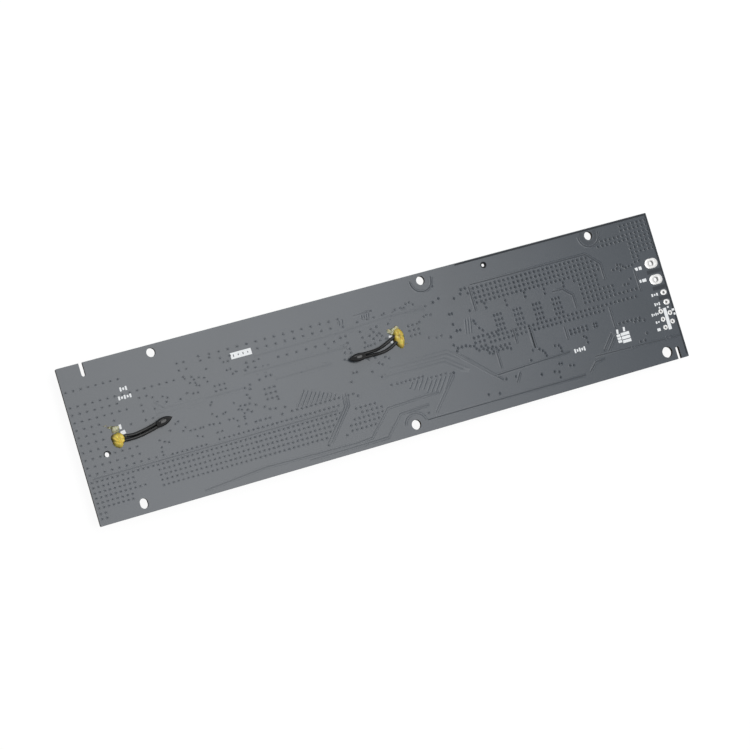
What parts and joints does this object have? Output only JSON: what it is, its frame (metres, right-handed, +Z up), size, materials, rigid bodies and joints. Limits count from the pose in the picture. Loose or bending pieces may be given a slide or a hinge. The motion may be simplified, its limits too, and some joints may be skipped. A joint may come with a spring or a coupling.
{
  "type": "battery management board",
  "caption": "Long battery management circuit board with screw holes, tinned wire lands, glued temperature probes and surface-mounted power parts underneath.",
  "frame": {"origin": "under the middle of the board's outline, on the plane of the capacitor tops that it rests on", "axes": "+X along the board towards the wire lands, +Y across it towards the edge with the three equal screw holes, +Z up out of the soldered face, with the components below"},
  "size_m": [0.258, 0.0624, 0.0111],
  "materials": {
    "solder_mask": "satin dark grey solder mask over glass fibre",
    "tinned_copper": "hot tinned copper, bright and slightly domed",
    "black_sleeve": "black sleeving, semi-matt",
    "bead_epoxy": "dipped black epoxy, glossy",
    "fixing_glue": "soft yellow glue, slightly translucent",
    "moulding_compound": "black moulding compound, fine matt",
    "lead_frame": "matt tin plate",
    "resistor_film": "black glaze on white ceramic",
    "capacitor_ceramic": "unglazed tan ceramic",
    "can_aluminium": "drawn aluminium, satin",
    "base_plastic": "black heat-proof plastic",
    "ferrite": "ground dark grey ferrite",
    "copper_wire": "enamelled copper wire",
    "fuse_ceramic": "white unglazed ceramic"
  },
  "bodies": {
    "root": {"circuit_board": "solder_mask", "power_wire_lands": "tinned_copper", "charge_wire_lands": "tinned_copper", "signal_wire_lands": "tinned_copper", "cell_tap_lands": "tinned_copper", "discharge_transistor_cases": "moulding_compound", "discharge_transistor_frames": "lead_frame", "charge_transistor_cases": "moulding_compound", "charge_transistor_frames": "lead_frame", "shunt_bodies": "moulding_compound", "shunt_terminals": "lead_frame", "controller_case": "moulding_compound", "controller_leads": "lead_frame", "cell_monitor_case": "moulding_compound", "cell_monitor_leads": "lead_frame", "regulator_case": "moulding_compound", "regulator_leads": "lead_frame", "line_driver_case": "moulding_compound", "line_driver_leads": "lead_frame", "balance_resistor_bodies": "resistor_film", "balance_resistor_caps": "lead_frame", "filter_resistor_bodies": "resistor_film", "filter_resistor_caps": "lead_frame", "filter_capacitor_bodies": "capacitor_ceramic", "filter_capacitor_caps": "lead_frame", "choke_ring": "ferrite", "choke_drum": "copper_wire", "choke_clips": "lead_frame", "capacitor_cans": "can_aluminium", "capacitor_bases": "base_plastic", "capacitor_feet": "lead_frame", "clamp_diode_cases": "moulding_compound", "clamp_diode_leads": "lead_frame", "rectifier_case": "moulding_compound", "rectifier_leads": "lead_frame", "crystal_tray": "capacitor_ceramic", "crystal_lid": "lead_frame", "fuse_body": "fuse_ceramic", "fuse_caps": "lead_frame", "left_probe_sleeves": "black_sleeve", "left_probe_bead": "bead_epoxy", "left_probe_glue": "fixing_glue", "middle_probe_sleeves": "black_sleeve", "middle_probe_bead": "bead_epoxy", "middle_probe_glue": "fixing_glue"}
  },
  "joints": []
}
